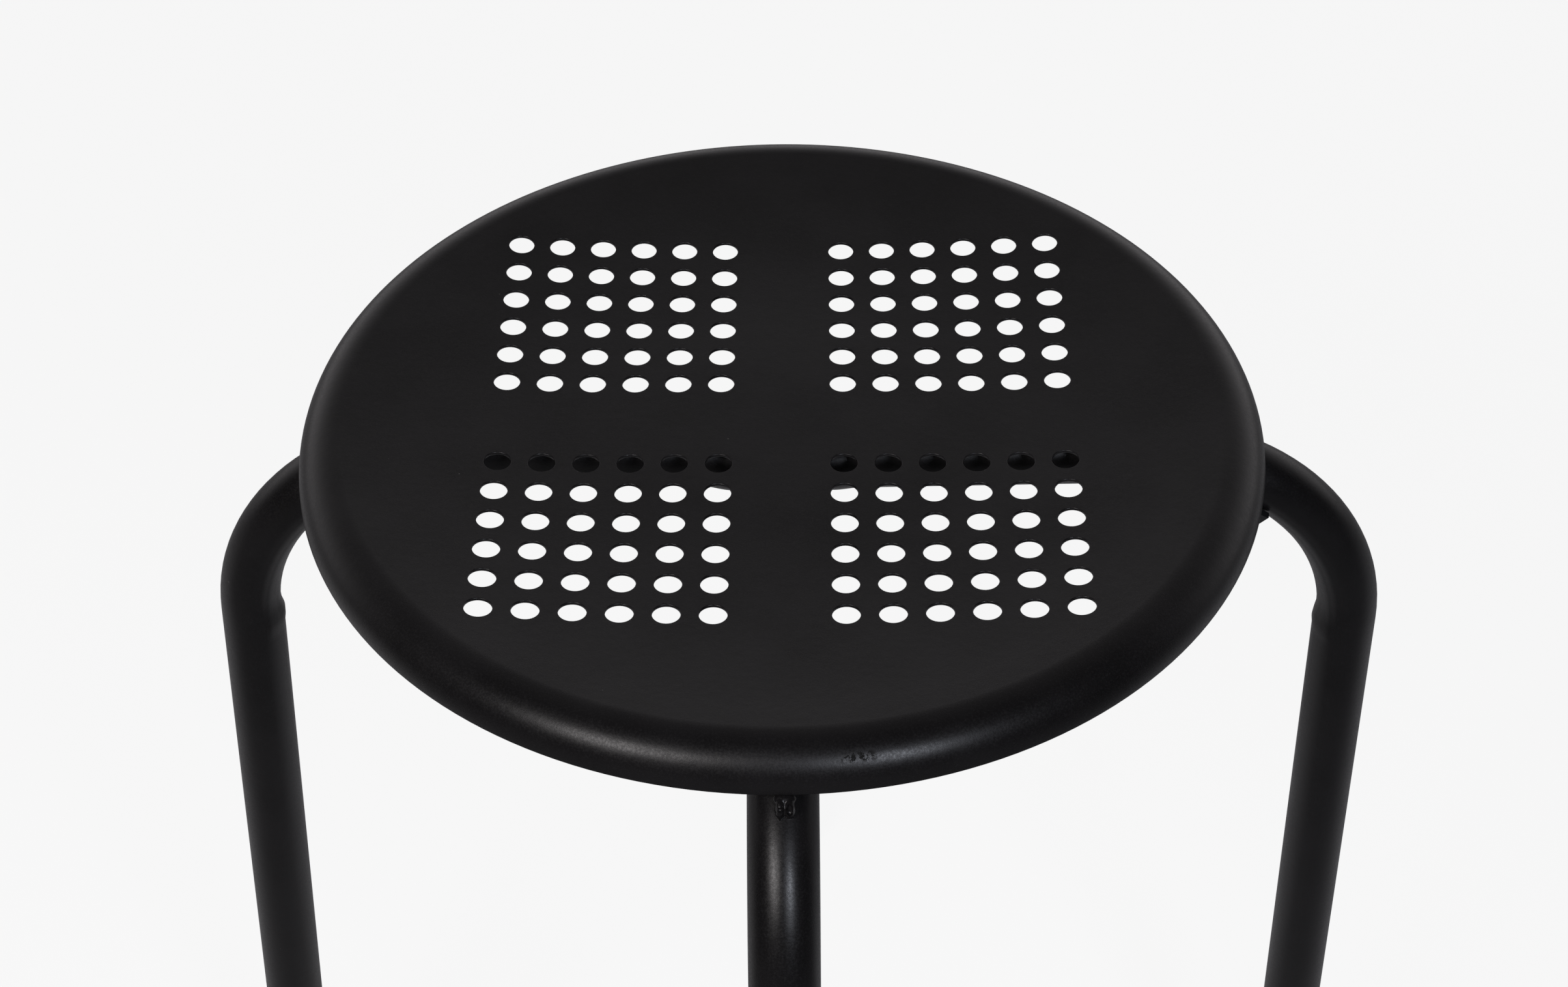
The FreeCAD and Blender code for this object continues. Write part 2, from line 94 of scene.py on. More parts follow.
# Clips and caps
CLIP_ANGLE = 25.75
CLIP_TOP = BEND_RADIUS - 2 * MM
CLIP_ROUNDING = 0.45 * MM
CAP_ROUNDING = 0.35 * MM

# How far each clip sits along its bend from the solid's place, and how far it is twisted
CLIP_PLACES = {"front": (-11, 0), "rear": (-11, 0), "left": (6, 0), "right": (6, 18)}

# Lumps and gas hollows of a rim bead in millimetres: distance out, across and up, then half sizes
RIM_LUMPS = (
    ((163.2, 0.3, 430.8), (3.1, 1.6, 4.1)),
    ((163.2, 3.2, 431.0), (2.9, 1.8, 3.8)),
    ((161.7, 1.7, 433.6), (2.0, 3.5, 1.9)),
)
RIM_HOLLOWS = (
    ((165.9, 0.3, 433.2), (1.0, 0.8, 0.9)),
    ((165.7, 3.3, 433.2), (1.5, 1.15, 2.4)),
)

# Other weld beads, with half sizes of their lumps
SEAT_BEAD_START = 104 * MM
SEAT_BEAD_STEP = 4 * MM
SEAT_BEAD_LUMPS = 5
SEAT_LUMP_LENGTH = 3.1 * MM
SEAT_LUMP_WIDTH = 2.6 * MM
SEAT_LUMP_BITE = 0.45 * MM
CROSSING_BEAD_OUT = 16.6 * MM
CROSSING_BEAD_STEP = 3.4 * MM
CROSSING_BEAD_LIFT = 1 * MM
CROSSING_LUMP = (1.9 * MM, 2.6 * MM, 1.6 * MM)
BEAD_VOXEL = 0.3 * MM
BEAD_GRAIN = 2.2 * MM
BEAD_GRAIN_HEIGHT = 0.45 * MM

# Powder coat
COAT_DARK = (0.0068, 0.0062, 0.0066)
COAT_LIGHT = (0.0094, 0.0086, 0.0092)
COAT_GRAIN = (0.014, 0.013, 0.0138)
COAT_SPECULAR = 0.42
COAT_REFRACTION = 1.45
COAT_ROUGH = 0.35
BEAD_ROUGH = 0.22
# Colour of the darker patches on the seat over the seat welds
SEAT_WELD_PATCH_TINT = (0.0048, 0.0042, 0.0045)
SCUFF_TINT = (0.003, 0.003, 0.003)
DUST = (0.16, 0.15, 0.14)

# Marks on the seat: place and radius of each darker, slightly glossier patch over a seat weld, and
# place of the scuff on the rim
SEAT_WELD_PATCHES = (
    ((7 * MM, -108 * MM, 445.9 * MM), 9 * MM),
    ((-133 * MM, 12 * MM, 448.4 * MM), 7 * MM),
    ((11 * MM, 126 * MM, 447.7 * MM), 8 * MM),
)
SCUFF_PLACE = (23.5 * MM, -155.6 * MM, 446.4 * MM)
SCUFF_RADIUS = 5 * MM
SCUFF_SOFTNESS = 2 * MM
SCUFF_HALF_HEIGHT = 1.1 * MM

# Patterns of the powder coat, by their repeats in one metre, and the depths of its relief
COAT_CLOUDS = 35
COAT_GRAINS = 1500
COAT_PEEL = 330
SEAT_WELD_PATCH_NOISE = 180
SCUFF_FLECKS = 650
DUST_CELLS = 170
PEEL_DEPTH = 0.06 * MM
GRAIN_DEPTH = 0.03 * MM

# Plastics: darker and lighter colour, roughness, and how high the rubbed part of a foot reaches
CLIP_DARK = (0.010, 0.010, 0.011)
CLIP_LIGHT = (0.015, 0.015, 0.016)
CLIP_ROUGH = 0.5
CAP_DARK = (0.012, 0.012, 0.013)
CAP_LIGHT = (0.020, 0.020, 0.021)
CAP_ROUGH = 0.52
CAP_RUBBED_BELOW = 6 * MM
PLASTIC_SPECULAR = 0.3
PLASTIC_CLOUDS = 90
PLASTIC_GRAINS = 2200
RUBBED_PATCHES = 420

# Room and floor
WHITE = (1, 1, 1)
ROOM_TINT = (1, 0.965, 0.985)
ROOM_HORIZON = 0.80
ROOM_CEILING = 0.155
ROOM_DARK = 0.012
FLOOR_SIZE = 8
FLOOR_TONE = (0.86, 0.86, 0.86)
FLOOR_MIRRORED_BEHIND = (0.95, 0.95, 0.95)
FLOOR_MIRRORED_IN_FRONT = (0.22, 0.22, 0.22)
FLOOR_WHITENED = 0.9
FLOOR_MIRROR_EDGE = (-0.30, 0.05)
LIGHTS_AIM = Vector((0, 0, 0.35))

# Where the backdrop fades upward and toward the front, in the Z and Y of a direction of length 1
BACKDROP_TOP = (0.10, 0.70)
BACKDROP_EDGE = (-0.10, 0.60)

# Camera
CAMERA_PLACE = (0.0102, -0.7413, 1.071)
CAMERA_TURN = 0.747
CAMERA_RISE = 41.67
CAMERA_ROLL = -0.68
FOCAL_PIXELS = 4430
PHOTO_WIDTH = 2408
SENSOR_WIDTH = 36


class Leg:
    """Centre line of one half of a tube, in the plane of its own leg. Its reach is in millimetres."""

    def __init__(self, name, reach, splay, turn):
        self.name = name
        self.reach = reach * MM
        self.splay = math.radians(splay)
        self.turn = math.radians(turn)
        self.bend_x = self.reach - BEND_RADIUS * math.cos(self.splay)
        self.bend_z = (RUN_HEIGHT + self.bend_x * math.tan(self.splay)
                       - BEND_RADIUS / math.cos(self.splay))
        self.bend_start = self.bend_x - BEND_RADIUS * math.sin(self.splay)
        self.bend_end = self.bend_z + BEND_RADIUS * math.sin(self.splay)
        self.floor_x = self.reach + self.bend_end * math.tan(self.splay)

    def leg_x(self, height):
        """Distance of the leg's centre from the stool's axis at one height."""
        return self.floor_x - height * math.tan(self.splay)

    def out(self, distance, across, height):
        """Place at a distance from the stool's axis along this leg's direction."""
        return Matrix.Rotation(self.turn, 3, "Z") @ Vector((distance, across, height))

    def parts(self, rows):
        """Places and half sizes in millimetres in this leg's own plane, brought onto the stool."""
        return [(self.out(*(MM * number for number in place)), [MM * number for number in sizes])
                for place, sizes in rows]


RIGHT = Leg("right", reach=199.9, splay=1.1, turn=0)
REAR = Leg("rear", reach=194.7, splay=2.0, turn=90)
LEFT = Leg("left", reach=189.4, splay=3.0, turn=180)
FRONT = Leg("front", reach=194.7, splay=2.0, turn=270)
LEGS = (FRONT, REAR, LEFT, RIGHT)


class Press:
    """Pressed middle of a tube, in millimetres.

    Half its length, where the tube is round again, its width, and its lowest and highest level
    from the middle of the run.
    """

    def __init__(self, half, end, width, low, high):
        self.half = half * MM
        self.end = end * MM
        self.widening = width * MM / (2 * TUBE_RADIUS) - 1
        self.low = RUN_HEIGHT + low * MM
        self.high = RUN_HEIGHT + high * MM

    def share(self, x):
        """How far the tube is pressed at a place: 0 is round and 1 is the full pressing."""
        along = min(max((self.end - abs(x)) / (self.end - self.half), 0), 1)
        return along * along * (3 - 2 * along)


SIDE_TUBE_SADDLE = Press(half=18, end=26, width=23.8, low=-11, high=SADDLE_TOP)
FRONT_TUBE_FLAT = Press(half=14, end=32, width=31.7, low=SADDLE_TOP, high=13)


# Modelling by hand: small steps that several pieces share

def start_fresh():
    """Nothing selected, nothing in edit mode."""
    if bpy.context.object and bpy.context.object.mode != "OBJECT":
        bpy.ops.object.mode_set(mode="OBJECT")
    bpy.ops.object.select_all(action="DESELECT")


def take(piece):
    """Select one piece alone and make it the active one."""
    start_fresh()
    piece.select_set(True)
    bpy.context.view_layer.objects.active = piece


def new_piece(name):
    """Name the object that the last operator added."""
    piece = bpy.context.object
    piece.name = name
    piece.data.name = name
    return piece


def settle(piece):
    """Put the piece's place, turn and scale into its mesh."""
    take(piece)
    bpy.ops.object.transform_apply(location=True, rotation=True, scale=True)


def apply_modifier(piece, kind, **values):
    """Add a modifier with these values and apply it."""
    take(piece)
    modifier = piece.modifiers.new(kind.title(), kind)
    for key, value in values.items():
        setattr(modifier, key, value)
    bpy.ops.object.modifier_apply(modifier=modifier.name)


def round_edges(piece, width, degrees):
    """Round the edges that are sharper than an angle."""
    apply_modifier(piece, "BEVEL", width=width, segments=3, limit_method="ANGLE",
                   angle_limit=math.radians(degrees))


def cut_away(piece, tool):
    """Cut the tool's shape out of a piece and drop the tool."""
    apply_modifier(piece, "BOOLEAN", operation="DIFFERENCE", object=tool, solver="EXACT")
    bpy.data.objects.remove(tool)


def join_all(pieces):
    """Make one mesh of several pieces."""
    start_fresh()
    for piece in pieces:
        piece.select_set(True)
    bpy.context.view_layer.objects.active = pieces[0]
    bpy.ops.object.join()
    return bpy.context.object


def smooth(piece, degrees):
    """Smooth shading with crisp edges above an angle."""
    take(piece)
    bpy.ops.object.shade_smooth_by_angle(angle=math.radians(degrees))


def pick(piece, wanted):
    """In edit mode, select the vertices whose place passes a test."""
    bpy.ops.mesh.select_mode(type="VERT")
    bpy.ops.mesh.select_all(action="DESELECT")
    mesh = bmesh.from_edit_mesh(piece.data)
    for vertex in mesh.verts:
        vertex.select = wanted(vertex.co)
    mesh.select_flush(True)
    bmesh.update_edit_mesh(piece.data)


def about(point, angle, axis):
    """Rotation about an axis through a point, with the angle in radians."""
    return Matrix.Translation(point) @ Matrix.Rotation(angle, 4, axis) @ Matrix.Translation(-point)


def skew(piece):
    """Turn a piece of the front and rear tube by the little that this tube is welded askew."""
    piece.matrix_world = Matrix.Rotation(math.radians(FRONT_TUBE_SKEW), 4, "Z")
    settle(piece)


def draw_rings(name, rings, segments):
    """Draw a disc out ring by ring, each a radius and a height. The piece is left in edit mode."""
    start_fresh()
    bpy.ops.mesh.primitive_circle_add(vertices=segments, radius=rings[0][0], fill_type="NGON",
                                      location=(0, 0, rings[0][1]))
    piece = new_piece(name)
    settle(piece)
    bpy.ops.object.mode_set(mode="EDIT")
    bpy.ops.mesh.select_mode(type="EDGE")
    bpy.ops.mesh.select_all(action="SELECT")
    bpy.ops.mesh.region_to_loop()
    for (radius, height), (next_radius, next_height) in zip(rings, rings[1:]):
        rise = (0, 0, next_height - height)
        bpy.ops.mesh.extrude_edges_move(TRANSFORM_OT_translate={"value": rise})
        grow = next_radius / radius
        bpy.ops.transform.resize(value=(grow, grow, 1), center_override=(0, 0, next_height))
    return piece


def close_mesh():
    """Turn all faces outward and leave edit mode."""
    bpy.ops.mesh.select_all(action="SELECT")
    bpy.ops.mesh.normals_make_consistent(inside=False)
    bpy.ops.object.mode_set(mode="OBJECT")


def shown_as(piece, slot, material, *nodes):
    """Ride on the stool's one body, stand for the CAD nodes and take the finish."""
    piece.data.materials.clear()
    piece.data.materials.append(material)
    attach(piece, "root")
    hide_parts(*nodes)


# Seat pan

def dish_height(radius):
    """Height of the sheet's upper side over the dish."""
    along = max(radius - DISH_FLAT, 0)
    return DISH_FLOOR + DISH_CURVE - math.sqrt(DISH_CURVE ** 2 - along ** 2)


def seat_rings():
    """Radius and height of the rings from the middle of the dish to the skirt's edge."""
    radii = [DISH_STEP * step for step in range(1, DISH_RINGS + 1)] + [DISH_END]
    rings = [(radius, dish_height(radius)) for radius in radii]
    roll_x = SEAT_RADIUS - ROLL_RADIUS
    for step in range(1, ROLL_STEPS + 1):
        angle = math.radians(ROLL_START + (90 - ROLL_START) * step / ROLL_STEPS)
        rings.append((roll_x + ROLL_RADIUS * math.sin(angle),
                      SEAT_HEIGHT - ROLL_RADIUS * (1 - math.cos(angle))))
    rings.append((SEAT_RADIUS, SKIRT_EDGE))
    return rings


def seat_sheet():
    """Dish, rolled rim and skirt, with the sheet's thickness and slightly rounded edges."""
    seat = draw_rings("seat", seat_rings(), SEAT_SEGMENTS)
    close_mesh()
    if seat.data.polygons[0].normal.z < 0:
        seat.data.flip_normals()
    apply_modifier(seat, "SOLIDIFY", thickness=SHEET, offset=-1)
    round_edges(seat, SHEET_ROUNDING, degrees=60)
    return seat


def hole_punch():
    """Round punch that flares at both faces of the sheet, so that a hole gets rounded lips."""
    rings = [(HOLE_RADIUS + UPPER_LIP, height) for height in (PUNCH_ABOVE, PUNCH_CLEARANCE)]
    for degrees in (30, 60, 90):
        angle = math.radians(degrees)
        rings.append((HOLE_RADIUS + UPPER_LIP * (1 - math.sin(angle)),
                      -UPPER_LIP * (1 - math.cos(angle))))
    for degrees in (0, 30, 60, 90):
        angle = math.radians(degrees)
        rings.append((HOLE_RADIUS + LOWER_LIP * (1 - math.cos(angle)),
                      -SHEET + LOWER_LIP * (1 - math.sin(angle))))
    rings.append((HOLE_RADIUS + LOWER_LIP, -SHEET - PUNCH_BELOW))
    punch = draw_rings("hole_punch", rings, HOLE_SEGMENTS)
    bpy.ops.mesh.edge_face_add()
    close_mesh()
    return punch


def punch_holes(seat):
    """Cut the four square fields, each hole square to the sheet where it stands."""
    punch = hole_punch()
    copies = []
    steps = [HOLE_FIRST + HOLE_PITCH * step for step in range(HOLES_PER_SIDE)]
    places = [-step for step in steps] + steps
    for x in places:
        for y in places:
            radius = math.hypot(x, y)
            lean = math.asin(max(radius - DISH_FLAT, 0) / DISH_CURVE)
            tilt = Matrix.Rotation(lean, 4, Vector((y, -x, 0)))
            copy = punch.copy()
            copy.data = punch.data.copy()
            bpy.context.collection.objects.link(copy)
            copy.matrix_world = Matrix.Translation((x, y, dish_height(radius))) @ tilt
            copies.append(copy)
    bpy.data.objects.remove(punch)
    punches = join_all(copies)
    settle(punches)
    cut_away(seat, punches)
    smooth(seat, degrees=32)
    apply_modifier(seat, "WEIGHTED_NORMAL", keep_sharp=True, weight=80)


# Leg tubes

def draw_along(centres):
    """Extrude the newest ring from centre to centre."""
    for last, centre in zip(centres, centres[1:]):
        step = tuple(centre - last)
        bpy.ops.mesh.extrude_region_move(TRANSFORM_OT_translate={"value": step})


def leg_centres(leg, side):
    """Centres of the rings from the foot up to the bend, close together where the bend ends."""
    heights = [FOOT_SOLE, 0.5 * leg.bend_end]
    heights += [leg.bend_end - gap * MM for gap in BEND_END_GAPS]
    return [Vector((side * leg.leg_x(height), 0, height)) for height in heights]


def turn_bend(leg, side):
    """Quarter turn about the bend's centre."""
    centre = (side * leg.bend_x, 0, leg.bend_z)
    bpy.ops.mesh.spin(steps=BEND_STEPS, angle=math.radians(-90), center=centre, axis=(0, 1, 0))


def run_centres(right, left, press):
    """Centres of the rings from bend to bend. The run rises from its pressed middle to both sides."""
    centres = []
    for leg, side in ((left, -1), (right, 1)):
        stations = [leg.bend_start, 0.5 * (leg.bend_start + press.end)]
        stations += [press.end + (press.half - press.end) * step / PRESS_STEPS
                     for step in range(PRESS_STEPS + 1)]
        places = []
        for x in stations:
            along = min(max((x - press.half) / (press.end - press.half), 0), 1)
            height = RUN_HEIGHT + x * math.tan(leg.splay) * along
            places.append(Vector((side * x, 0, height)))
        centres += places if side < 0 else places[::-1]
    return centres


def press_ring(tube, centre, press):
    """Widen one ring, lift it where the press does, and hold it between the press's two levels."""
    share = press.share(centre.x)
    lift = 0
    if press.low > RUN_HEIGHT:
        lift = (0.5 * (press.low + press.high) - centre.z) * share
    top = centre.z + TUBE_RADIUS + (press.high - centre.z - TUBE_RADIUS) * share
    bottom = centre.z - TUBE_RADIUS + (press.low - centre.z + TUBE_RADIUS) * share
    near = 0.2 * MM
    pick(tube, lambda place: abs(place.x - centre.x) < near)
    bpy.ops.transform.resize(value=(1, 1 + press.widening * share, 1), center_override=centre)
    bpy.ops.transform.translate(value=(0, 0, lift))
    pick(tube, lambda place: abs(place.x - centre.x) < near and place.z > top)
    bpy.ops.transform.resize(value=(1, 1, 0), center_override=(centre.x, 0, top))
    pick(tube, lambda place: abs(place.x - centre.x) < near and place.z < bottom)
    bpy.ops.transform.resize(value=(1, 1, 0), center_override=(centre.x, 0, bottom))


def flatten_bend(tube, leg, side):
    """The bending tool leaves the inner side of a bend flatter, with a low ridge where it ends."""
    centre = Vector((side * leg.bend_x, 0, leg.bend_z))

    def inner(place, width, first, last):
        """Whether a place is on the inner side of the bend, between two angles of the bend."""
        across = place - centre
        across.x *= side
        flat = math.hypot(across.x, across.z)
        turn = math.degrees(math.atan2(across.x, across.z))
        section = math.degrees(math.atan2(abs(place.y), BEND_RADIUS - flat))
        return first < turn < last and section < width and flat < BEND_RADIUS + TUBE_RADIUS

    for width, first, last, depth in BEND_FLATS:
        pick(tube, lambda place: inner(place, width, first, last))
        bpy.ops.transform.shrink_fatten(value=-depth * MM)
    width, first, last, height = BEND_RIDGE
    pick(tube, lambda place: inner(place, width, first, last))
    bpy.ops.transform.shrink_fatten(value=height * MM)


def draw_tube(name, right, left, press):
    """One tube drawn from the left foot over both bends to the right foot, then pressed."""
    start_fresh()
    bpy.ops.mesh.primitive_circle_add(vertices=TUBE_SEGMENTS, radius=TUBE_RADIUS)
    tube = new_piece(name)
    bpy.ops.object.mode_set(mode="EDIT")
    bpy.ops.mesh.select_all(action="SELECT")
    rings = leg_centres(left, -1)
    bpy.ops.transform.translate(value=rings[0])
    draw_along(rings)
    turn_bend(left, -1)
    rings = run_centres(right, left, press)
    draw_along(rings)
    turn_bend(right, 1)
    draw_along(leg_centres(right, 1)[::-1])
    bpy.ops.mesh.select_all(action="SELECT")
    bpy.ops.mesh.fill_holes(sides=0)
    bpy.ops.mesh.normals_make_consistent(inside=False)
    for centre in rings:
        if abs(centre.x) < press.end:
            press_ring(tube, centre, press)
    flatten_bend(tube, right, 1)
    flatten_bend(tube, left, -1)
    bpy.ops.object.mode_set(mode="OBJECT")
    smooth(tube, degrees=50)
    return tube


# Clips and caps

def finished_copy(node, name, rounding):
    """A moulded piece: the solid's own form with its edges rounded."""
    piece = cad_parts[node].copy()
    piece.data = piece.data.copy()
    piece.parent = None
    piece.matrix_world = Matrix.Identity(4)
    bpy.context.collection.objects.link(piece)
    piece.name = name
    take(piece)
    bpy.ops.object.mode_set(mode="EDIT")
    bpy.ops.mesh.select_all(action="SELECT")
    bpy.ops.mesh.remove_doubles(threshold=0.002 * MM)
    bpy.ops.mesh.dissolve_limited(angle_limit=math.radians(0.5))
    bpy.ops.object.mode_set(mode="OBJECT")
    round_edges(piece, rounding, degrees=40)
    smooth(piece, degrees=40)
    return piece


def slide_clip(clip, leg, along, twist):
    """Shorten a clip's walls, move it along its bend and twist it about the tube."""
    centre = Vector((leg.bend_x, 0, leg.bend_z))
    across = Vector((0, 1, 0))
    turn = Matrix.Rotation(leg.turn, 4, "Z")
    clip.matrix_world = about(centre, math.radians(-CLIP_ANGLE), across) @ turn.inverted()
    settle(clip)
    start_fresh()
    wide = 60 * MM
    tall = 20 * MM
    middle = (leg.bend_x, 0, leg.bend_z + CLIP_TOP + 0.5 * tall)
    bpy.ops.mesh.primitive_cube_add(size=1, location=middle, scale=(wide, wide, tall))
    above = bpy.context.object
    settle(above)
    cut_away(clip, above)
    angle = math.radians(CLIP_ANGLE + along)
    on_tube = centre + BEND_RADIUS * Vector((math.sin(angle), 0, math.cos(angle)))
    tangent = Vector((math.cos(angle), 0, -math.sin(angle)))
    twisted = about(on_tube, math.radians(twist), tangent)
    clip.matrix_world = turn @ twisted @ about(centre, angle, across)
    settle(clip)


# Weld beads

def lumps(name, places, turn=0.0):
    """Run of weld metal made of overlapping lumps, each with its place and its three half sizes."""
    pieces = []
    for place, sizes in places:
        start_fresh()
        bpy.ops.mesh.primitive_ico_sphere_add(subdivisions=4, radius=1, location=place,
                                              rotation=(0, 0, turn), scale=sizes)
        pieces.append(bpy.context.object)
    join_all(pieces)
    bead = new_piece(name)
    settle(bead)
    apply_modifier(bead, "REMESH", mode="VOXEL", voxel_size=BEAD_VOXEL)
    grain = bpy.data.textures.new(f"{name}_grain", "CLOUDS")
    grain.noise_scale = BEAD_GRAIN
    apply_modifier(bead, "DISPLACE", texture=grain, strength=BEAD_GRAIN_HEIGHT, mid_level=0.5)
    apply_modifier(bead, "SMOOTH", factor=0.5, iterations=2)
    return bead


def scoop(bead, places, turn):
    """Round hollows in a bead, where gas left the metal, each with its place and its half sizes."""
    for place, sizes in places:
        start_fresh()
        bpy.ops.mesh.primitive_uv_sphere_add(segments=24, ring_count=16, radius=1, location=place,
                                             rotation=(0, 0, turn), scale=sizes)
        hollow = bpy.context.object
        settle(hollow)
        cut_away(bead, hollow)


def rim_bead(leg):
    """Bead between the skirt's edge and the bend: two lumps on a root, each with a gas hollow."""
    bead = lumps(f"rim_bead_{leg.name}", leg.parts(RIM_LUMPS), leg.turn)
    scoop(bead, leg.parts(RIM_HOLLOWS), leg.turn)
    return bead


def seat_bead(leg):
    """Short run of lumps between the top of a run and the underside of the dish."""
    places = []
    for step in range(SEAT_BEAD_LUMPS):
        out = SEAT_BEAD_START + SEAT_BEAD_STEP * step
        top = RUN_HEIGHT + out * math.tan(leg.splay) + TUBE_RADIUS / math.cos(leg.splay)
        under = dish_height(out) - SHEET
        tall = 0.5 * (under - top) + SEAT_LUMP_BITE
        sizes = (SEAT_LUMP_LENGTH, SEAT_LUMP_WIDTH + 0.5 * tall, tall)
        places.append((leg.out(out, 0, 0.5 * (under + top)), sizes))
    return lumps(f"seat_bead_{leg.name}", places, leg.turn)


def crossing_bead(name, side):
    """Short run of lumps along one edge of the pressed tube."""
    height = RUN_HEIGHT + SADDLE_TOP * MM + CROSSING_BEAD_LIFT
    places = []
    for step in (-2, -1, 0, 1, 2):
        place = Vector((side * CROSSING_BEAD_OUT, step * CROSSING_BEAD_STEP, height))
        places.append((place, CROSSING_LUMP))
    return lumps(name, places)


def join_beads(name, beads):
    """Several beads as one piece."""
    join_all(beads)
    joined = new_piece(name)
    smooth(joined, degrees=60)
    return joined


# Finishes

def node_tree(name):
    """New material with its shader and its Object coordinates."""
    material = bpy.data.materials.new(name)
    material.use_nodes = True
    tree = material.node_tree
    shader = tree.nodes["Principled BSDF"]
    place = tree.nodes.new("ShaderNodeTexCoord").outputs["Object"]
    return material, tree, shader, place


def noise(tree, place, scale, detail=2.0, roughness=0.5):
    """Noise between 0 and 1 at a place."""
    node = tree.nodes.new("ShaderNodeTexNoise")
    node.inputs["Scale"].default_value = scale
    node.inputs["Detail"].default_value = detail
    node.inputs["Roughness"].default_value = roughness
    tree.links.new(place, node.inputs["Vector"])
    return node.outputs["Fac"]


def spread(tree, value, low, high, to_low, to_high):
    """Map a value softly from one range to another, held at both ends."""
    node = tree.nodes.new("ShaderNodeMapRange")
    node.interpolation_type = "SMOOTHSTEP"
    node.inputs["From Min"].default_value = low
    node.inputs["From Max"].default_value = high
    node.inputs["To Min"].default_value = to_low
    node.inputs["To Max"].default_value = to_high
    tree.links.new(value, node.inputs["Value"])
    return node.outputs["Result"]


def maths(tree, operation, first, second=0.0):
    """One step of arithmetic on values or numbers."""
    node = tree.nodes.new("ShaderNodeMath")
    node.operation = operation
    for socket, value in zip(node.inputs, (first, second)):
        if isinstance(value, (int, float)):
            socket.default_value = value
        else:
            tree.links.new(value, socket)
    return node.outputs["Value"]


def times(tree, first, second):
    """Product of two values."""
    return maths(tree, "MULTIPLY", first, second)


def tint(tree, share, first, second):
    """Mix two colours, each a colour or another node's output."""
    node = tree.nodes.new("ShaderNodeMix")
    node.data_type = "RGBA"
    tree.links.new(share, node.inputs["Factor"])
    for socket, colour in ((node.inputs["A"], first), (node.inputs["B"], second)):
        if isinstance(colour, tuple):
            socket.default_value = (*colour, 1)
        else:
            tree.links.new(colour, socket)
    return node.outputs["Result"]


def part_of(tree, place, axis):
    """One coordinate, X, Y or Z, of a place."""
    split = tree.nodes.new("ShaderNodeSeparateXYZ")
    tree.links.new(place, split.inputs["Vector"])
    return split.outputs[axis]


def bump(tree, shader, layers):
    """Fine relief from several layers, each a height, its depth in metres and its strength."""
    last = None
    for height, depth, strength in layers:
        node = tree.nodes.new("ShaderNodeBump")
        node.inputs["Strength"].default_value = strength
        node.inputs["Distance"].default_value = depth
        tree.links.new(height, node.inputs["Height"])
        if last is not None:
            tree.links.new(last, node.inputs["Normal"])
        last = node.outputs["Normal"]
    tree.links.new(last, shader.inputs["Normal"])


def near(tree, place, centre, radius, soft):
    """1 at a point of the piece, falling to 0 at a distance."""
    node = tree.nodes.new("ShaderNodeVectorMath")
    node.operation = "DISTANCE"
    node.inputs[1].default_value = centre
    tree.links.new(place, node.inputs[0])
    return spread(tree, node.outputs["Value"], radius - soft, radius + soft, 1, 0)


def near_height(tree, place, height, half):
    """1 at a height of the piece, falling to 0 a little above and below."""
    offset = maths(tree, "SUBTRACT", part_of(tree, place, "Z"), height)
    return spread(tree, maths(tree, "ABSOLUTE", offset), half * 0.5, half * 1.5, 1, 0)


def specks(tree, place, scale, size, share):
    """Sparse dust: a dot in a few cells of a cell pattern."""
    cells = tree.nodes.new("ShaderNodeTexVoronoi")
    cells.inputs["Scale"].default_value = scale
    tree.links.new(place, cells.inputs["Vector"])
    dot = spread(tree, cells.outputs["Distance"], size * 0.5, size, 1, 0)
    chosen = tree.nodes.new("ShaderNodeSeparateColor")
    tree.links.new(cells.outputs["Color"], chosen.inputs["Color"])
    few = maths(tree, "GREATER_THAN", chosen.outputs["Red"], 1 - share)
    return times(tree, dot, few)


def powder_coat(name, marks=(), scuff=None, coat_rough=COAT_ROUGH):
    """Semi-matte black powder coat: fine grain over a soft orange peel, with dust and any marks."""
    material, tree, shader, place = node_tree(name)
    cloud = noise(tree, place, COAT_CLOUDS, 4)
    grain = noise(tree, place, COAT_GRAINS, 3, 0.6)
    peel = noise(tree, place, COAT_PEEL, 2)
    colour = tint(tree, spread(tree, cloud, 0.3, 0.7, 0, 1), COAT_DARK, COAT_LIGHT)
    colour = tint(tree, spread(tree, grain, 0.52, 0.72, 0, 0.5), colour, COAT_GRAIN)
    rough = maths(tree, "ADD", spread(tree, grain, 0.3, 0.7, -0.05, 0.06),
                  spread(tree, cloud, 0.3, 0.7, coat_rough - 0.02, coat_rough + 0.02))
    # Darker, slightly glossier patches on the seat over the seat welds
    for centre, radius in marks:
        patches = spread(tree, noise(tree, place, SEAT_WELD_PATCH_NOISE, 2), 0.35, 0.65, 0.2, 1)
        weld_patch = times(tree, near(tree, place, centre, radius, radius * 0.6), patches)
        colour = tint(tree, times(tree, weld_patch, 0.5), colour, SEAT_WELD_PATCH_TINT)
        rough = maths(tree, "SUBTRACT", rough, times(tree, weld_patch, 0.02))
    if scuff:
        spot = near(tree, place, scuff, SCUFF_RADIUS, SCUFF_SOFTNESS)
        band = near_height(tree, place, scuff[2], SCUFF_HALF_HEIGHT)
        flecks = spread(tree, noise(tree, place, SCUFF_FLECKS, 4, 0.7), 0.48, 0.56, 0, 1)
        rub = times(tree, times(tree, spot, band), flecks)
        colour = tint(tree, rub, colour, SCUFF_TINT)
        rough = maths(tree, "ADD", rough, times(tree, rub, 0.5))
    dust = specks(tree, place, DUST_CELLS, size=0.05, share=0.05)
    colour = tint(tree, times(tree, dust, 0.6), colour, DUST)
    tree.links.new(colour, shader.inputs["Base Color"])
    tree.links.new(rough, shader.inputs["Roughness"])
    shader.inputs["IOR"].default_value = COAT_REFRACTION
    shader.inputs["Specular IOR Level"].default_value = COAT_SPECULAR
    bump(tree, shader, ((peel, PEEL_DEPTH, 0.6), (grain, GRAIN_DEPTH, 0.7)))
    return material


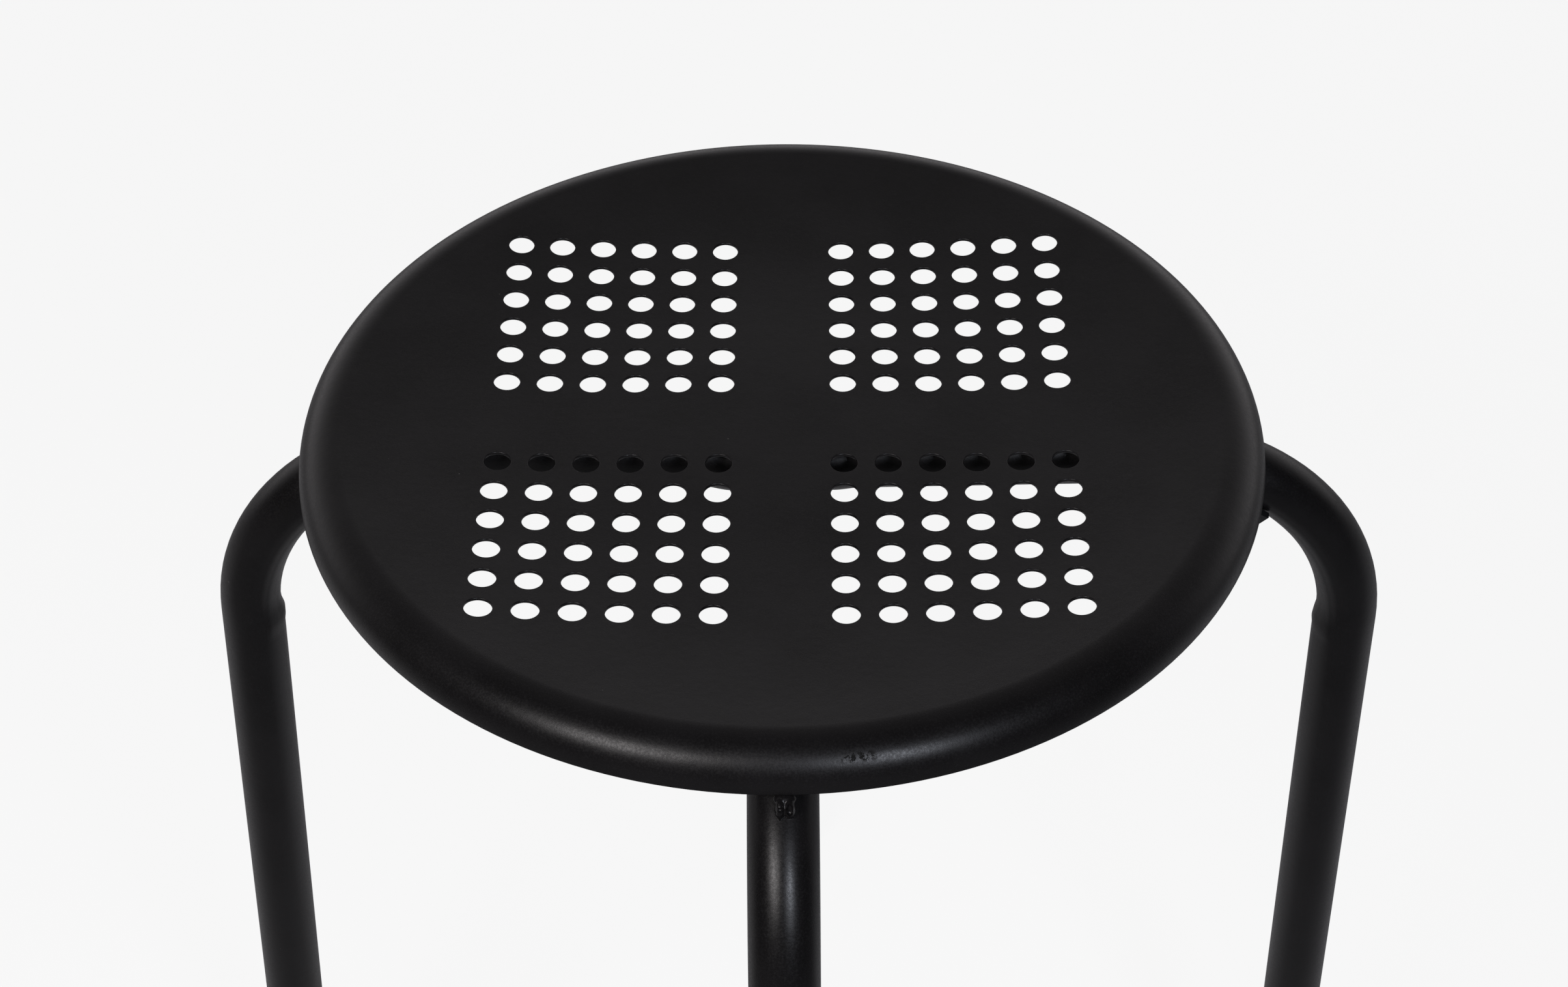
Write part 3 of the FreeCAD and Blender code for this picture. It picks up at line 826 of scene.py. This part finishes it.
def moulded_plastic(name, dark, light, rough, rubbed_below=None):
    """Matte black plastic with a fine spark-eroded grain. A foot is rubbed grey next to the floor."""
    material, tree, shader, place = node_tree(name)
    cloud = noise(tree, place, PLASTIC_CLOUDS, 3)
    grain = noise(tree, place, PLASTIC_GRAINS, 2, 0.6)
    colour = tint(tree, spread(tree, cloud, 0.3, 0.7, 0, 1), dark, light)
    if rubbed_below:
        low_down = spread(tree, part_of(tree, place, "Z"), 0, rubbed_below, 0.55, 0)
        patches = spread(tree, noise(tree, place, RUBBED_PATCHES, 4), 0.4, 0.65, 0, 1)
        colour = tint(tree, times(tree, low_down, patches), colour, DUST)
    uneven = spread(tree, grain, 0.3, 0.7, rough - 0.05, rough + 0.06)
    tree.links.new(colour, shader.inputs["Base Color"])
    tree.links.new(uneven, shader.inputs["Roughness"])
    shader.inputs["Specular IOR Level"].default_value = PLASTIC_SPECULAR
    bump(tree, shader, ((grain, GRAIN_DEPTH, 0.4),))
    return material


# The stool

side_tube = draw_tube("tube_side", RIGHT, LEFT, SIDE_TUBE_SADDLE)
front_tube = draw_tube("tube_front_rear", REAR, FRONT, FRONT_TUBE_FLAT)
front_tube.rotation_euler.z = REAR.turn
settle(front_tube)
skew(front_tube)
seat = seat_sheet()
punch_holes(seat)

coat = powder_coat("powder_coat")
seat_coat = powder_coat("powder_coat_seat", SEAT_WELD_PATCHES, SCUFF_PLACE)
bead_coat = powder_coat("powder_coat_bead", coat_rough=BEAD_ROUGH)
clip_plastic = moulded_plastic("clip_plastic", CLIP_DARK, CLIP_LIGHT, CLIP_ROUGH)
cap_plastic = moulded_plastic("cap_plastic", CAP_DARK, CAP_LIGHT, CAP_ROUGH, CAP_RUBBED_BELOW)

shown_as(seat, "powder_coat", seat_coat, "seat_pan")
shown_as(side_tube, "powder_coat", coat, "leg_tube_side")
shown_as(front_tube, "powder_coat", coat, "leg_tube_front_rear")

rim_beads = join_beads("rim_beads", [rim_bead(FRONT), rim_bead(REAR)])
shown_as(rim_beads, "powder_coat", bead_coat, "rim_welds")
seat_beads = join_beads("seat_beads", [seat_bead(leg) for leg in LEGS])
shown_as(seat_beads, "powder_coat", coat, "seat_welds")
crossing_beads = join_beads("crossing_beads", [crossing_bead("crossing_bead_left", -1),
                                               crossing_bead("crossing_bead_right", 1)])
shown_as(crossing_beads, "powder_coat", coat, "crossing_welds")

for leg in LEGS:
    clip = finished_copy(f"stacking_pad_{leg.name}", f"clip_{leg.name}", CLIP_ROUNDING)
    slide_clip(clip, leg, *CLIP_PLACES[leg.name])
    cap = finished_copy(f"foot_cap_{leg.name}", f"cap_{leg.name}", CAP_ROUNDING)
    if leg in (FRONT, REAR):
        skew(clip)
        skew(cap)
    shown_as(clip, "stacking_pad", clip_plastic, f"stacking_pad_{leg.name}")
    shown_as(cap, "foot_cap", cap_plastic, f"foot_cap_{leg.name}")


# Studio

def pale_floor():
    """Pale floor, nearly white to the camera. The stool mirrors it dark in front and pale behind."""
    start_fresh()
    bpy.ops.mesh.primitive_plane_add(size=FLOOR_SIZE)
    floor = new_piece("floor")
    material = bpy.data.materials.new("floor")
    material.use_nodes = True
    tree = material.node_tree
    tree.nodes.clear()
    place = tree.nodes.new("ShaderNodeTexCoord").outputs["Object"]
    path = tree.nodes.new("ShaderNodeLightPath")
    in_front = spread(tree, part_of(tree, place, "Y"), *FLOOR_MIRROR_EDGE, 1, 0)
    mirrored = tint(tree, in_front, FLOOR_MIRRORED_BEHIND, FLOOR_MIRRORED_IN_FRONT)
    tone = tint(tree, path.outputs["Is Glossy Ray"], FLOOR_TONE, mirrored)
    paint = tree.nodes.new("ShaderNodeBsdfDiffuse")
    tree.links.new(tone, paint.inputs["Color"])
    white = tree.nodes.new("ShaderNodeEmission")
    white.inputs["Color"].default_value = (*WHITE, 1)
    mix = tree.nodes.new("ShaderNodeMixShader")
    whitened = times(tree, path.outputs["Is Camera Ray"], FLOOR_WHITENED)
    tree.links.new(whitened, mix.inputs["Fac"])
    tree.links.new(paint.outputs["BSDF"], mix.inputs[1])
    tree.links.new(white.outputs["Emission"], mix.inputs[2])
    output = tree.nodes.new("ShaderNodeOutputMaterial")
    tree.links.new(mix.outputs["Shader"], output.inputs["Surface"])
    floor.data.materials.append(material)


def room_light():
    """Dark room in front, white backdrop behind under a dimmer ceiling. The camera sees white."""
    world = bpy.data.worlds.new("room")
    bpy.context.scene.world = world
    world.use_nodes = True
    tree = world.node_tree
    background = tree.nodes["Background"]
    direction = tree.nodes.new("ShaderNodeTexCoord").outputs["Generated"]
    seen = tree.nodes.new("ShaderNodeLightPath").outputs["Is Camera Ray"]
    upward = part_of(tree, direction, "Z")
    backdrop = spread(tree, upward, *BACKDROP_TOP, ROOM_HORIZON, ROOM_CEILING)
    behind = spread(tree, part_of(tree, direction, "Y"), *BACKDROP_EDGE, 0, 1)
    level = maths(tree, "MAXIMUM", times(tree, backdrop, behind), ROOM_DARK)
    unseen = times(tree, level, maths(tree, "SUBTRACT", 1.0, seen))
    tree.links.new(maths(tree, "ADD", unseen, seen), background.inputs["Strength"])
    tree.links.new(tint(tree, seen, ROOM_TINT, WHITE), background.inputs["Color"])


def softbox(name, place, size, power, colour):
    """Rectangular soft box aimed at the stool, a little under the seat. Its power is in watts."""
    light = bpy.data.lights.new(name, "AREA")
    light.shape = "RECTANGLE"
    light.size = size[0]
    light.size_y = size[1]
    light.energy = power
    light.color = colour
    lamp = bpy.data.objects.new(name, light)
    bpy.context.collection.objects.link(lamp)
    lamp.location = place
    lamp.rotation_euler = (LIGHTS_AIM - Vector(place)).to_track_quat("-Z", "Y").to_euler()


def camera():
    """Camera at the photograph's place, angle and lens."""
    turn = math.radians(CAMERA_TURN)
    rise = math.radians(CAMERA_RISE)
    roll = math.radians(CAMERA_ROLL)
    back = Vector((math.sin(turn) * math.cos(rise), -math.cos(turn) * math.cos(rise), math.sin(rise)))
    right = Vector((math.cos(turn), math.sin(turn), 0))
    up = back.cross(right)
    view_right = right * math.cos(roll) + up * math.sin(roll)
    view_up = up * math.cos(roll) - right * math.sin(roll)
    axes = Matrix((view_right, view_up, back)).transposed()
    lens = bpy.data.cameras.new("camera")
    lens.sensor_width = SENSOR_WIDTH
    lens.lens = FOCAL_PIXELS / PHOTO_WIDTH * SENSOR_WIDTH
    lens.clip_start = 0.05
    holder = bpy.data.objects.new("camera", lens)
    bpy.context.collection.objects.link(holder)
    holder.matrix_world = Matrix.Translation(CAMERA_PLACE) @ axes.to_4x4()
    bpy.context.scene.camera = holder


pale_floor()
room_light()
softbox("front_left", place=(-0.90, -1.31, 1.50), size=(0.75, 0.6), power=14,
        colour=(1, 0.96, 0.96))
softbox("front_right", place=(0.62, -1.50, 1.42), size=(0.35, 0.5), power=10,
        colour=(0.86, 0.90, 1))
camera()
bpy.context.scene.view_settings.view_transform = "Standard"
